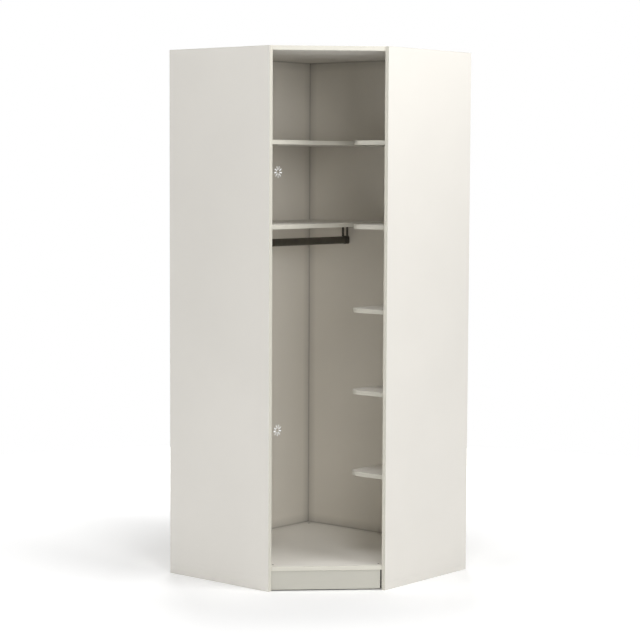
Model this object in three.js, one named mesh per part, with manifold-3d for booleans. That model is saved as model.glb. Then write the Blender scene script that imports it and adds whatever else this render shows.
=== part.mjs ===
// Corner wardrobe: a pentagonal cabinet for the corner of a room, open along its diagonal front.
// Millimetres, +Z up, standing on z = 0, with the origin in the middle of its square outline in plan.
// Places in plan are given as u, the distance from the left wall, and v, the distance from the right
// wall, both measured from the corner of the room where the two back boards meet.
import * as THREE from 'three';
import { mergeVertices } from 'three/addons/utils/BufferGeometryUtils.js';
import Module from 'manifold-3d';

const wasm = await Module();
wasm.setup();

// Carcass
const height = 2360;
const wallLength = 960;
const frontRun = 341;
const boardThickness = 19;
const backThickness = 16;
const floorTop = 108;

// Plinth under the bottom panel
const plinthThickness = 16;
const plinthSetback = 3;
const plinthFloorGap = 5;
const plinthRightGap = 8;
const bracketLength = 40;
const bracketLeg = 26;
const bracketThickness = 4;
const bracketEndInset = 70;

// Shelves. The shares give the lower shelves' places between the lowest one and the hat shelf
const shelfSetback = 84;
const narrowShelfWidth = 270;
const freeCornerRadius = 60;
const topBayHeight = 380;
const hatBayPitch = 371;
const firstShelfRise = 381;
const lowerShelfShares = [0, 0.3315, 0.663];

// Ventilation slots in the left back board, each group in a round web that is thinned from behind
const ventFromCorner = 246;
const lowVentRise = 473;
const highVentRise = 230;
const ventSlotCount = 9;
const ventSlotWidth = 5.5;
const ventInnerRadius = 9;
const ventOuterRadius = 29;
const ventPocketMargin = 21;
const ventWeb = 2;

// Hanging rail, its socket on the left side panel and its shoe under the hat shelf
const railHeight = 35;
const railWidth = 16;
const railWall = 1.5;
const railDrop = 55;
const socketWall = 2;
const socketFlange = 3;
const socketCup = 14;
const socketTab = 16;
const socketScrewInset = 8;
const shoeWall = 1.5;
const shoeEnd = 3;
const shoeLength = 30;
const shoeWallGap = 9;
const rearPostFromEnd = 6;
const postSpacing = 32;
const postRadius = 4.25;
const postFlangeRadius = 10;
const postFlangeThickness = 3;
const studRadius = 2.5;
const studUp = 12;
const studDown = 4;

// Countersunk screws of the socket
const screwHeadRadius = 3.75;
const screwHeadDepth = 2.2;
const screwShankRadius = 1.75;
const screwLength = 15;

// Shelf connectors: a cam housing in the board's face and a bolt into the next panel
const camRadius = 10;
const camDepth = 12.5;
const camFromEdge = 11.5;
const boltRadius = 3.5;
const boltRise = 7.5;
const boltReach = 9;
const connectorInset = 60;
const topConnectorInset = 90;

// Levelling feet
const footFromPanel = 37;
const frontFootInset = 25;
const rearFootInset = 60;
const spindleRadius = 5;
const spindleNeckRadius = 4;
const spindleNeckLength = 9;
const spindleTopGap = 7;
const hexKeyRadius = 2.9;
const hexKeyDepth = 6;
const accessHoleRadius = 5;
const housingBossRadius = 14;
const housingHeight = 54;
const housingBlockLength = 46;
const housingBlockOffset = 6;
const padRadius = 19;
const padRimHeight = 4;
const padChamfer = 2;
const padHeight = 9;
const padNeckRadius = 9;
const padFloor = 3;
const padLift = 1;

// Clearance between a piece and what holds it, overrun of a cut, and facets of round shapes
const clearance = 0.3;
const overrun = 1;
const roundFacets = 16;
const smallFacets = 10;
const cornerFacets = 12;
const ovalFacets = 6;
const slotFacets = 4;

// Places worked out from the sizes above
const sideInner = wallLength - boardThickness;
const sideDepth = sideInner - frontRun;
const baseTop = floorTop - boardThickness;
const shelfFront = sideDepth - shelfSetback;
const narrowShelfLeft = sideInner - narrowShelfWidth;
const frontHalf = frontRun * Math.SQRT1_2;
const frontMiddle = (sideInner + sideDepth) / 2;
const topShelfTop = height - boardThickness - topBayHeight;
const hatShelfTop = topShelfTop - hatBayPitch;
const firstShelfTop = floorTop + firstShelfRise;
const shelfTops = lowerShelfShares.map((share) => firstShelfTop + share * (hatShelfTop - firstShelfTop));
shelfTops.push(hatShelfTop, topShelfTop);
const hatShelfUnderside = hatShelfTop - boardThickness;
const railCentre = (backThickness + shelfFront) / 2;
const railTop = hatShelfUnderside - railDrop;
const railMiddle = railTop - railHeight / 2;

// Materials
const whiteBoard = new THREE.MeshStandardMaterial({ color: 0xeeece2, roughness: 0.55, metalness: 0 });
const greyPlastic = new THREE.MeshStandardMaterial({ color: 0xb9b8b2, roughness: 0.5, metalness: 0 });
const blackPlastic = new THREE.MeshStandardMaterial({ color: 0x26262a, roughness: 0.6, metalness: 0 });
const bronzeMetal = new THREE.MeshStandardMaterial({ color: 0x2f2b27, roughness: 0.4, metalness: 0.8 });
const zincMetal = new THREE.MeshStandardMaterial({ color: 0xa9abad, roughness: 0.35, metalness: 0.9 });

// The whole wardrobe, whose inner groups are measured from the corner of the room
const wardrobe = new THREE.Group();
const fromCorner = new THREE.Group();
fromCorner.position.set(-wallLength / 2, wallLength / 2, 0);
wardrobe.add(fromCorner);

// A closed solid from a three.js geometry, and back
function solidOf(geometry) {
  const bare = geometry.clone();
  bare.deleteAttribute('normal');
  bare.deleteAttribute('uv');
  const merged = mergeVertices(bare);
  const vertProperties = new Float32Array(merged.attributes.position.array);
  const triVerts = new Uint32Array(merged.index.array);
  return new wasm.Manifold(new wasm.Mesh({ numProp: 3, vertProperties, triVerts }));
}

function geometryOf(solid) {
  const { vertProperties, triVerts } = solid.getMesh();
  const geometry = new THREE.BufferGeometry();
  geometry.setAttribute('position', new THREE.BufferAttribute(vertProperties, 3));
  geometry.setIndex(new THREE.BufferAttribute(triVerts, 1));
  geometry.computeVertexNormals();
  return geometry;
}

function cutAll(solid, cutters) {
  return cutters.reduce((rest, cutter) => rest.subtract(cutter), solid);
}

// A named piece in a group, at a place
function addPiece(group, name, geometry, material, place = new THREE.Vector3()) {
  const mesh = new THREE.Mesh(geometry, material);
  mesh.name = name;
  mesh.position.copy(place);
  group.add(mesh);
  return mesh;
}

// Plan place (u, v) at a height
function at(u, v, z = 0) {
  return new THREE.Vector3(u, -v, z);
}

function block(u0, u1, v0, v1, z0, z1) {
  const geometry = new THREE.BoxGeometry(u1 - u0, v1 - v0, z1 - z0);
  const middle = at((u0 + u1) / 2, (v0 + v1) / 2, (z0 + z1) / 2);
  return geometry.translate(middle.x, middle.y, middle.z);
}

// Upright prism of a plan outline
function prism(shape, z0, z1, curveSegments = cornerFacets) {
  const options = { depth: z1 - z0, bevelEnabled: false, curveSegments };
  return new THREE.ExtrudeGeometry(shape, options).translate(0, 0, z0);
}

// Upright round bar on the Z axis
function bar(radius, z0, z1, facets = roundFacets) {
  const geometry = new THREE.CylinderGeometry(radius, radius, z1 - z0, facets);
  return geometry.rotateX(Math.PI / 2).translate(0, 0, (z0 + z1) / 2);
}

// Round solid about the Z axis from points (radius, height) that start and end on the axis
function turned(points, facets = roundFacets) {
  const profile = points.map(([radius, z]) => new THREE.Vector2(radius, z));
  return new THREE.LatheGeometry(profile, facets).rotateX(Math.PI / 2);
}

// Oval with round ends, standing upright in the shape's Y
function uprightOval(width, tall, path = new THREE.Shape()) {
  const r = width / 2;
  const straight = tall / 2 - r;
  path.moveTo(r, -straight);
  path.lineTo(r, straight);
  path.absarc(0, straight, r, 0, Math.PI, false);
  path.lineTo(-r, -straight);
  path.absarc(0, -straight, r, Math.PI, 2 * Math.PI, false);
  return path;
}

// Extrusion of an upright outline that runs from plan distance v0 to v1 along the left wall
function alongLeftWall(shape, v0, v1, centreU, centreZ) {
  const options = { depth: v1 - v0, bevelEnabled: false, curveSegments: ovalFacets };
  const geometry = new THREE.ExtrudeGeometry(shape, options).rotateX(Math.PI / 2);
  return geometry.translate(centreU, -v0, centreZ);
}

// Shelf connector, with its bolt pointing along its own +X past the board's edge at x = 0.
// The board's face with the housing is z = 0, and the board lies above it.
function connectorSolid(extra, below) {
  const housing = solidOf(bar(camRadius + extra, -below, camDepth + extra));
  const boltGeometry = bar(boltRadius + extra, 0, camFromEdge + boltReach + extra, smallFacets);
  const bolt = solidOf(boltGeometry.rotateY(Math.PI / 2).translate(0, 0, boltRise));
  return housing.add(bolt).translate([-camFromEdge, 0, 0]);
}

const connectorShape = geometryOf(connectorSolid(0, 0));
const connectorRoom = geometryOf(connectorSolid(clearance, overrun));
const cutsFor = { left_side_panel: [], right_side_panel: [], right_back_board: [] };

// Adds a connector and returns the cutter for the board that carries it
function addConnector(name, place, turn, panelName, housingUp = false) {
  const mesh = addPiece(fromCorner, name, connectorShape, greyPlastic, place);
  mesh.rotation.set(housingUp ? Math.PI : 0, 0, turn, 'ZYX');
  mesh.updateMatrix();
  const cutter = solidOf(connectorRoom.clone().applyMatrix4(mesh.matrix));
  cutsFor[panelName].push(cutter);
  return cutter;
}

// Directions in plan: to the left side panel, the right side panel and the right back board
const toLeftPanel = -Math.PI / 2;
const toRightPanel = 0;
const toRightBack = Math.PI / 2;

// Top panel, held by connectors let into its upper face
function pentagon() {
  const shape = new THREE.Shape();
  shape.moveTo(backThickness, -backThickness);
  shape.lineTo(backThickness, -sideInner);
  shape.lineTo(sideDepth, -sideInner);
  shape.lineTo(sideInner, -sideDepth);
  shape.lineTo(sideInner, -backThickness);
  shape.closePath();
  return shape;
}

function addTopPanel() {
  const cutters = [];
  const insets = [backThickness + topConnectorInset, sideDepth - topConnectorInset];
  insets.forEach((inset, i) => {
    const end = i === 0 ? 'rear' : 'front';
    const left = at(inset, sideInner, height);
    const right = at(sideInner, inset, height);
    cutters.push(
      addConnector(`top_connector_left_${end}`, left, toLeftPanel, 'left_side_panel', true),
      addConnector(`top_connector_right_${end}`, right, toRightPanel, 'right_side_panel', true),
    );
  });
  const panel = solidOf(prism(pentagon(), height - boardThickness, height));
  addPiece(fromCorner, 'top_panel', geometryOf(cutAll(panel, cutters)), whiteBoard);
}

// Two deep shelves along the left back board, between the left side panel and the right back board
function addDeepShelf(name, top) {
  const underside = top - boardThickness;
  const cutters = [];
  const insets = [backThickness + connectorInset, shelfFront - connectorInset];
  insets.forEach((inset, i) => {
    const end = i === 0 ? 'rear' : 'front';
    const left = at(inset, sideInner, underside);
    const right = at(inset, backThickness, underside);
    cutters.push(
      addConnector(`${name}_connector_left_${end}`, left, toLeftPanel, 'left_side_panel'),
      addConnector(`${name}_connector_right_${end}`, right, toRightBack, 'right_back_board'),
    );
  });
  const board = block(backThickness, shelfFront, backThickness, sideInner, underside, top);
  return cutAll(solidOf(board), cutters);
}

// Narrow shelves by the right side panel, with a rounded free corner
function narrowShelfOutline() {
  const r = freeCornerRadius;
  const shape = new THREE.Shape();
  shape.moveTo(narrowShelfLeft, -backThickness);
  shape.lineTo(narrowShelfLeft, r - shelfFront);
  shape.absarc(narrowShelfLeft + r, r - shelfFront, r, Math.PI, 1.5 * Math.PI, false);
  shape.lineTo(sideInner, -shelfFront);
  shape.lineTo(sideInner, -backThickness);
  shape.closePath();
  return shape;
}

function addNarrowShelf(number, top) {
  const underside = top - boardThickness;
  const name = `narrow_shelf_${number}`;
  const front = at(sideInner, shelfFront - connectorInset, underside);
  const rear = at(narrowShelfLeft + connectorInset, backThickness, underside);
  const cutters = [
    addConnector(`${name}_connector_side`, front, toRightPanel, 'right_side_panel'),
    addConnector(`${name}_connector_back`, rear, toRightBack, 'right_back_board'),
  ];
  const shelf = cutAll(solidOf(prism(narrowShelfOutline(), underside, top)), cutters);
  addPiece(fromCorner, name, geometryOf(shelf), whiteBoard);
}

// Rail, socket, shoe and posts, all on the rail's axis under the hat shelf
function addRail() {
  const socketFace = sideInner - socketFlange;
  const shoeBack = backThickness + shoeWallGap;
  const railEnds = [shoeBack + shoeEnd + clearance, socketFace - clearance];
  const railOutline = uprightOval(railWidth, railHeight);
  const hollow = new THREE.Path();
  railOutline.holes.push(uprightOval(railWidth - 2 * railWall, railHeight - 2 * railWall, hollow));
  const onAxis = (shape, v0, v1) => solidOf(alongLeftWall(shape, v0, v1, railCentre, railMiddle));
  let rail = onAxis(railOutline, ...railEnds);
  const bore = [railWidth + 2 * clearance, railHeight + 2 * clearance];

  // Shoe, closed at the back board
  const shoeOutline = uprightOval(bore[0] + 2 * shoeWall, bore[1] + 2 * shoeWall);
  const shoeFront = shoeBack + shoeLength;
  let shoe = onAxis(shoeOutline, shoeBack, shoeFront);
  shoe = shoe.subtract(onAxis(uprightOval(...bore), shoeBack + shoeEnd, shoeFront + overrun));

  // Posts: the rear one stands on the shoe and the front one on the rail, and both screw into the shelf
  const rearV = shoeBack + rearPostFromEnd;
  const frontV = rearV + postSpacing;
  const shoeTop = railTop + clearance + shoeWall;
  const studHoles = [];
  const shelfHoles = [];
  [['rear', rearV, shoeTop], ['front', frontV, railTop]].forEach(([end, v, seat]) => {
    const z0 = seat + clearance;
    const flangeBase = hatShelfUnderside - clearance - postFlangeThickness;
    const post = turned([
      [0, z0 - shoeWall - studDown],
      [studRadius, z0 - shoeWall - studDown],
      [studRadius, z0],
      [postRadius, z0],
      [postRadius, flangeBase],
      [postFlangeRadius, flangeBase],
      [postFlangeRadius, hatShelfUnderside - clearance],
      [studRadius, hatShelfUnderside - clearance],
      [studRadius, hatShelfUnderside + studUp],
      [0, hatShelfUnderside + studUp],
    ], smallFacets);
    addPiece(fromCorner, `rail_post_${end}`, post, bronzeMetal, at(railCentre, v));
    const lowHole = bar(studRadius + clearance, railMiddle, z0 + overrun, smallFacets);
    studHoles.push(solidOf(lowHole.translate(railCentre, -v, 0)));
    const highHole = bar(studRadius + clearance, hatShelfUnderside - overrun,
      hatShelfUnderside + studUp + clearance, smallFacets);
    shelfHoles.push(solidOf(highHole.translate(railCentre, -v, 0)));
  });
  rail = cutAll(rail, studHoles);
  shoe = cutAll(shoe, studHoles);
  addPiece(fromCorner, 'hanging_rail', geometryOf(rail), bronzeMetal);
  addPiece(fromCorner, 'rail_shoe', geometryOf(shoe), bronzeMetal);

  // Socket: a cup on an oval flange, with a countersunk screw above and below the cup
  const cupOutline = uprightOval(bore[0] + 2 * socketWall, bore[1] + 2 * socketWall);
  const flangeTall = bore[1] + 2 * socketWall + 2 * socketTab;
  const flangeOutline = uprightOval(bore[0] + 2 * socketWall, flangeTall);
  let socket = onAxis(flangeOutline, socketFace, sideInner);
  socket = socket.add(onAxis(cupOutline, socketFace - socketCup, sideInner));
  socket = socket.subtract(onAxis(uprightOval(...bore), socketFace - socketCup - overrun, socketFace));
  const screwSpacing = flangeTall / 2 - socketScrewInset;
  [['upper', screwSpacing], ['lower', -screwSpacing]].forEach(([end, rise]) => {
    const place = at(railCentre, socketFace, railMiddle + rise);
    const screw = screwShape(0, 0);
    const mesh = addPiece(fromCorner, `socket_screw_${end}`, screw, zincMetal, place);
    mesh.updateMatrix();
    const room = solidOf(screwShape(clearance, overrun).applyMatrix4(mesh.matrix));
    socket = socket.subtract(room);
    cutsFor.left_side_panel.push(room);
  });
  addPiece(fromCorner, 'rail_socket', geometryOf(socket), bronzeMetal);
  return shelfHoles;
}

// Countersunk screw that points along -Y from the flange's face at y = 0
function screwShape(extra, above) {
  return turned([
    [0, -above],
    [screwHeadRadius + extra, -above],
    [screwHeadRadius + extra, 0],
    [screwShankRadius + extra, screwHeadDepth],
    [screwShankRadius + extra, screwLength + extra],
    [0, screwLength + extra],
  ], smallFacets).rotateX(Math.PI / 2);
}

// Round group of slots cut through the left back board, one of them straight down, and the round
// pocket in the board's rear face that thins it there
function ventCutter(heightOfCentre) {
  const length = ventOuterRadius - ventInnerRadius;
  const depth = backThickness + 2 * overrun;
  const options = { depth, bevelEnabled: false, curveSegments: slotFacets };
  const pocketRadius = ventOuterRadius + ventPocketMargin;
  const pocketDepth = backThickness - ventWeb;
  const pocket = new THREE.CylinderGeometry(
    pocketRadius, pocketRadius, pocketDepth + overrun, roundFacets);
  pocket.rotateZ(Math.PI / 2);
  pocket.translate((pocketDepth - overrun) / 2, -ventFromCorner, heightOfCentre);
  let cutter = solidOf(pocket);
  for (let i = 0; i < ventSlotCount; i += 1) {
    const slot = new THREE.ExtrudeGeometry(uprightOval(ventSlotWidth, length), options);
    slot.translate(0, -ventInnerRadius - length / 2, -overrun);
    slot.rotateZ((i * 2 * Math.PI) / ventSlotCount).rotateX(Math.PI / 2).rotateZ(Math.PI / 2);
    const solid = solidOf(slot.translate(0, -ventFromCorner, heightOfCentre));
    cutter = cutter.add(solid);
  }
  return cutter;
}

// Levelling foot. Its housing lies along its own +X to the panel, and its block to the side hand * Y
function addFoot(name, u, v, turn, hand) {
  const foot = new THREE.Group();
  foot.position.copy(at(u, v));
  foot.rotation.z = turn;
  fromCorner.add(foot);

  const blockNear = hand * housingBlockOffset;
  const blockFar = hand * (housingBlockOffset + housingBlockLength);
  const boss = solidOf(bar(housingBossRadius, baseTop - housingHeight, baseTop - clearance));
  const blockGeometry = new THREE.BoxGeometry(
    housingBossRadius + footFromPanel - clearance, housingBlockLength, housingHeight - clearance);
  blockGeometry.translate(
    (footFromPanel - clearance - housingBossRadius) / 2, (blockNear + blockFar) / 2,
    baseTop - (housingHeight + clearance) / 2);
  const boreFloor = baseTop - housingHeight - overrun;
  const spindleRoom = bar(spindleRadius + clearance, boreFloor, baseTop, smallFacets);
  const housing = boss.add(solidOf(blockGeometry)).subtract(solidOf(spindleRoom));
  addPiece(foot, `${name}_housing`, geometryOf(housing), blackPlastic);

  const seat = padLift + padFloor;
  const neckTop = seat + spindleNeckLength;
  const spindleTop = baseTop - spindleTopGap;
  const spindle = solidOf(turned([
    [0, seat + clearance],
    [spindleNeckRadius, seat + clearance],
    [spindleNeckRadius, neckTop],
    [spindleRadius, neckTop],
    [spindleRadius, spindleTop],
    [0, spindleTop],
  ], smallFacets));
  const hexKey = solidOf(bar(hexKeyRadius, spindleTop - hexKeyDepth, spindleTop + overrun, 6));
  addPiece(foot, `${name}_spindle`, geometryOf(spindle.subtract(hexKey)), zincMetal);

  const pad = turned([
    [0, padLift],
    [padRadius - padChamfer, padLift],
    [padRadius, padLift + padChamfer],
    [padRadius, padLift + padRimHeight],
    [padNeckRadius, padLift + padHeight],
    [spindleNeckRadius + clearance, padLift + padHeight],
    [spindleNeckRadius + clearance, seat],
    [0, seat],
  ], roundFacets);
  addPiece(foot, `${name}_pad`, pad, blackPlastic);

  const accessHole = bar(accessHoleRadius, baseTop - overrun, floorTop + overrun, smallFacets);
  return solidOf(accessHole.translate(u, -v, 0));
}

// Plinth board and its two brackets, in a group whose +X runs along the diagonal front to the right
function addPlinth() {
  const front = new THREE.Group();
  front.position.copy(at(frontMiddle, frontMiddle));
  front.rotation.z = Math.PI / 4;
  fromCorner.add(front);
  const left = clearance * 2 - frontHalf - plinthSetback;
  const right = frontHalf + plinthSetback - plinthRightGap;
  const top = baseTop - clearance;
  const board = new THREE.BoxGeometry(right - left, plinthThickness, top - plinthFloorGap);
  board.translate((left + right) / 2, plinthSetback + plinthThickness / 2, (top + plinthFloorGap) / 2);
  addPiece(front, 'plinth_board', board, whiteBoard);

  const outline = new THREE.Shape();
  const back = plinthSetback + plinthThickness + clearance;
  outline.moveTo(back, top);
  outline.lineTo(back, top - bracketLeg);
  outline.lineTo(back + bracketThickness, top - bracketLeg);
  outline.lineTo(back + bracketThickness, top - bracketThickness);
  outline.lineTo(back + bracketLeg, top - bracketThickness);
  outline.lineTo(back + bracketLeg, top);
  outline.closePath();
  const angle = new THREE.ExtrudeGeometry(outline, { depth: bracketLength, bevelEnabled: false });
  angle.rotateX(Math.PI / 2).rotateZ(Math.PI / 2).translate(-bracketLength, 0, 0);
  const reach = frontHalf - bracketEndInset;
  [['left', bracketLength - reach], ['right', reach]].forEach(([end, place]) => {
    addPiece(front, `plinth_bracket_${end}`, angle, greyPlastic, new THREE.Vector3(place, 0, 0));
  });
}

addTopPanel();
shelfTops.forEach((top, i) => addNarrowShelf(i + 1, top));
const topShelf = addDeepShelf('top_shelf', topShelfTop);
const hatShelf = addDeepShelf('hat_shelf', hatShelfTop);
addPiece(fromCorner, 'top_shelf', geometryOf(topShelf), whiteBoard);
addPiece(fromCorner, 'hat_shelf', geometryOf(cutAll(hatShelf, addRail())), whiteBoard);

const nearPanel = sideInner - footFromPanel;
const nearBack = backThickness + footFromPanel;
const frontFoot = sideDepth - frontFootInset;
const rearFoot = backThickness + rearFootInset;
const accessHoles = [
  addFoot('foot_front_right', nearPanel, frontFoot, toRightPanel, 1),
  addFoot('foot_rear_right', nearPanel, rearFoot, toRightPanel, -1),
  addFoot('foot_front_left', frontFoot, nearPanel, toLeftPanel, -1),
  addFoot('foot_rear_left', rearFoot, nearPanel, toLeftPanel, 1),
  addFoot('foot_corner', nearBack, nearBack, toRightBack, -1),
];
const bottomPanel = solidOf(prism(pentagon(), baseTop, floorTop));
addPiece(fromCorner, 'bottom_panel', geometryOf(cutAll(bottomPanel, accessHoles)), whiteBoard);
addPlinth();

// Upright boards, from the floor to the top, with their cuts
function addUpright(name, u0, u1, v0, v1, cutters) {
  const board = cutAll(solidOf(block(u0, u1, v0, v1, 0, height)), cutters);
  addPiece(fromCorner, name, geometryOf(board), whiteBoard);
}

const vents = [ventCutter(floorTop + lowVentRise), ventCutter(hatShelfTop + highVentRise)];
addUpright('left_side_panel', 0, sideDepth, sideInner, wallLength, cutsFor.left_side_panel);
addUpright('right_side_panel', sideInner, wallLength, 0, sideDepth, cutsFor.right_side_panel);
addUpright('left_back_board', 0, backThickness, backThickness, sideInner, vents);
addUpright('right_back_board', 0, sideInner, 0, backThickness, cutsFor.right_back_board);

export default wardrobe;
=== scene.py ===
import math

import bmesh
import bpy
from mathutils import Euler, Matrix, Vector


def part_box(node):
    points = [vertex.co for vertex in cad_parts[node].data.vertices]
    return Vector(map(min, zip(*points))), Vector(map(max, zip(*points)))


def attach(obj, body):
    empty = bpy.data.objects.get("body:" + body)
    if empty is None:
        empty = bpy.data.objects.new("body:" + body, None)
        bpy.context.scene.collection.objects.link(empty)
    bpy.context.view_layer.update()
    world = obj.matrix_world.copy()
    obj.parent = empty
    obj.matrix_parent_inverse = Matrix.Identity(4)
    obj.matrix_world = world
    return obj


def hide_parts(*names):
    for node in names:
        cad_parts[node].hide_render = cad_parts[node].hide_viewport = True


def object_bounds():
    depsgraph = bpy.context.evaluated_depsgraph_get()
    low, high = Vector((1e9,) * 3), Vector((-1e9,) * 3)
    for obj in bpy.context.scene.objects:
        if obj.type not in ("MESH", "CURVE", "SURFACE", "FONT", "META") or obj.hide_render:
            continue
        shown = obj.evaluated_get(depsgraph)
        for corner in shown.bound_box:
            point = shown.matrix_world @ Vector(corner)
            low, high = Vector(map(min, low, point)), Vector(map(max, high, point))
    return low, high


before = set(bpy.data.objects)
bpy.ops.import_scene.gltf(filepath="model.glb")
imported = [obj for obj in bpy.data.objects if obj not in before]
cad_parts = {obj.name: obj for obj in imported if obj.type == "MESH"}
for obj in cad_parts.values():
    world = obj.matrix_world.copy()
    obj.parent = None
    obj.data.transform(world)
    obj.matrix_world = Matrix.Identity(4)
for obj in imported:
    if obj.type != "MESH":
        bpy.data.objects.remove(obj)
cad_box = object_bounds()
scene = bpy.context.scene
scene.view_settings.view_transform = "Standard"

# Corner wardrobe. Sizes are millimetres until they are multiplied by mm; places are in the row frame.
mm = 0.001
BOARD = 19.0
BACK = 16.0
FRONT_RUN = 341.0
PLINTH = 16.0
FREE_CORNER = 60.0
EDGE_BAND = 1.0
GLUE_LINE = 0.15
TO_SIDE = Vector((1, 0, 0))
TO_BACK = Vector((0, 1, 0))
UP = Vector((0, 0, 1))
ALONG_FRONT = Vector((1, 1, 0)).normalized()
INTO_CORNER = Vector((-1, 1, 0)).normalized()


def plan(u, v, z=0.0):
    """Row place of a plan place, given by its distances from the left wall and the right wall."""
    return Vector((cad_box[0].x + u * mm, cad_box[1].y - v * mm, z * mm))


def middle(node):
    """Middle of a node's box."""
    low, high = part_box(node)
    return (low + high) / 2


def at_height(place, z):
    return Vector((place.x, place.y, z))


# Camera, from the fit of the carcass edges in the photograph
CAMERA_PLACE = (5.5938, -6.5927, 1.8432)
CAMERA_AIM = Vector((-0.64496, 0.76005, -0.07964))
CAMERA_ROLL = -0.27
CAMERA_LENS = 107.63
CAMERA_SENSOR = 36.0
CAMERA_NEAR, CAMERA_FAR = 0.1, 100.0


def add_camera():
    forward = CAMERA_AIM.normalized()
    level = forward.cross(UP).normalized()
    down = forward.cross(level)
    roll = math.radians(CAMERA_ROLL)
    right = level * math.cos(roll) + down * math.sin(roll)
    camera = bpy.data.objects.new("camera", bpy.data.cameras.new("camera"))
    scene.collection.objects.link(camera)
    axes = Matrix((right, right.cross(forward), -forward)).transposed().to_4x4()
    camera.matrix_world = Matrix.Translation(CAMERA_PLACE) @ axes
    camera.data.sensor_width = CAMERA_SENSOR
    camera.data.lens = CAMERA_LENS
    camera.data.clip_start, camera.data.clip_end = CAMERA_NEAR, CAMERA_FAR
    scene.camera = camera


# Node trees
class Nodes:
    """A node tree that is put together one node at a time."""

    def add(self, kind, settings=None, **inputs):
        node = self.tree.nodes.new(kind)
        for key, value in (settings or {}).items():
            setattr(node, key, value)
        for key, value in inputs.items():
            self.give(node.inputs[key.replace("_", " ")], value)
        return node

    def give(self, socket, value):
        for one in value if isinstance(value, list) else [value]:
            if isinstance(one, bpy.types.NodeSocket):
                self.tree.links.new(one, socket)
            else:
                socket.default_value = one

    def math(self, operation, a, b=0.0):
        node = self.add("ShaderNodeMath", {"operation": operation})
        self.give(node.inputs[0], a)
        self.give(node.inputs[1], b)
        return node.outputs[0]

    def ramp(self, value, low, high, to_low, to_high):
        node = self.add("ShaderNodeMapRange", Value=value)
        for key, limit in zip(("From Min", "From Max", "To Min", "To Max"), (low, high, to_low, to_high)):
            self.give(node.inputs[key], limit)
        return node.outputs[0]

    def vector(self, **axes):
        return self.add("ShaderNodeCombineXYZ", **axes).outputs[0]


# Materials
class Finish(Nodes):
    """A node material on its Principled shader."""

    def __init__(self, name):
        self.material = bpy.data.materials.new(name)
        self.material.use_nodes = True
        self.tree = self.material.node_tree
        self.shader = next(n for n in self.tree.nodes if n.type == "BSDF_PRINCIPLED")
        self.place = self.add("ShaderNodeTexCoord").outputs["Object"]

    def stretched(self, scale):
        """Object place with its axes scaled, for a grain that runs one way."""
        return self.add("ShaderNodeMapping", Vector=self.place, Scale=scale).outputs[0]

    def noise(self, scale, detail=2.0, rough=0.5, vector=None):
        return self.add("ShaderNodeTexNoise", Vector=vector or self.place, Scale=scale, Detail=detail,
                        Roughness=rough).outputs[0]

    def cells(self, scale, vector=None):
        return self.add("ShaderNodeTexVoronoi", Vector=vector or self.place, Scale=scale).outputs

    def blend(self, share, first, second):
        node = self.add("ShaderNodeMix", {"data_type": "RGBA"})
        for number, value in ((0, share), (6, first), (7, second)):
            self.give(node.inputs[number], value)
        return node.outputs[2]

    def mottled(self, value, low, high, first, second, most=1.0):
        """Colour between the first and the second, as a value goes from low to high."""
        return self.blend(self.ramp(value, low, high, 0.0, most), first, second)

    def bumps(self, *layers):
        """Layers of (height, strength, depth in millimetres), from broad to fine."""
        normal = None
        for height, strength, depth in layers:
            node = self.add("ShaderNodeBump", Height=height, Strength=strength, Distance=depth * mm)
            if normal is not None:
                self.tree.links.new(normal, node.inputs["Normal"])
            normal = node.outputs[0]
        self.tree.links.new(normal, self.shader.inputs["Normal"])

    def done(self, **values):
        for key, value in values.items():
            self.give(self.shader.inputs[key.replace("_", " ")], value)
        return self.material


def shade(colour, factor):
    return tuple(c * factor for c in colour[:3]) + (1.0,)


WARM_WHITE = (0.80, 0.774, 0.72, 1.0)


def melamine(name, base, joints=()):
    """Matt melamine face: faint cloudiness, a pearl grain, light scuffs close to the floor, and painted shade
    that darkens the inner faces along the inner joints, which are given as (axis, place)."""
    f = Finish(name)
    colour = f.mottled(f.noise(2.6, 4.0), 0.35, 0.65, shade(base, 0.985), shade(base, 1.01))
    axes = f.add("ShaderNodeSeparateXYZ", Vector=f.place).outputs
    # inside is 1 on the inner faces, the only faces that get the painted joint shade
    inside = 1.0
    for depth in (f.math("SUBTRACT", axes[0], INNER_LEFT), f.math("SUBTRACT", INNER_RIGHT, axes[1]),
                  f.math("SUBTRACT", axes[2], INNER_FLOOR), f.math("SUBTRACT", INNER_TOP, axes[2])):
        inside = f.math("MULTIPLY", inside, f.ramp(depth, -0.0008, -0.0002, 0.0, 1.0))
    # Painted shade: a narrow dark line and a wider soft darkening along each inner joint, standing in for the
    # shade that gathers in the inner corners
    for axis, place in joints:
        away = f.math("ABSOLUTE", f.math("SUBTRACT", axes[axis], place))
        close = f.math("MULTIPLY", f.ramp(away, 0.001, 0.006, 1.0, 0.0), 0.22)
        wide = f.math("MULTIPLY", f.ramp(away, 0.0, 0.045, 1.0, 0.0), 0.24)
        joint_shade = f.math("MULTIPLY", f.math("ADD", close, wide), inside)
        colour = f.blend(joint_shade, colour, shade(base, 0.16))
    near_floor = f.ramp(axes[2], 0.0, 0.09, 1.0, 0.0)
    streaks = f.ramp(f.noise(9.0, 6.0, 0.7, f.stretched((1.0, 1.0, 7.0))), 0.52, 0.72, 0.0, 0.5)
    colour = f.blend(f.math("MULTIPLY", near_floor, streaks), colour, shade(base, 0.86))
    rough = f.ramp(f.noise(34.0, 3.0), 0.3, 0.7, 0.46, 0.56)
    f.bumps((f.noise(150.0, 2.0), 0.10, 0.10), (f.noise(1500.0, 3.0), 0.22, 0.03))
    return f.done(Base_Color=colour, Roughness=rough, IOR=1.48)


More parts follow.
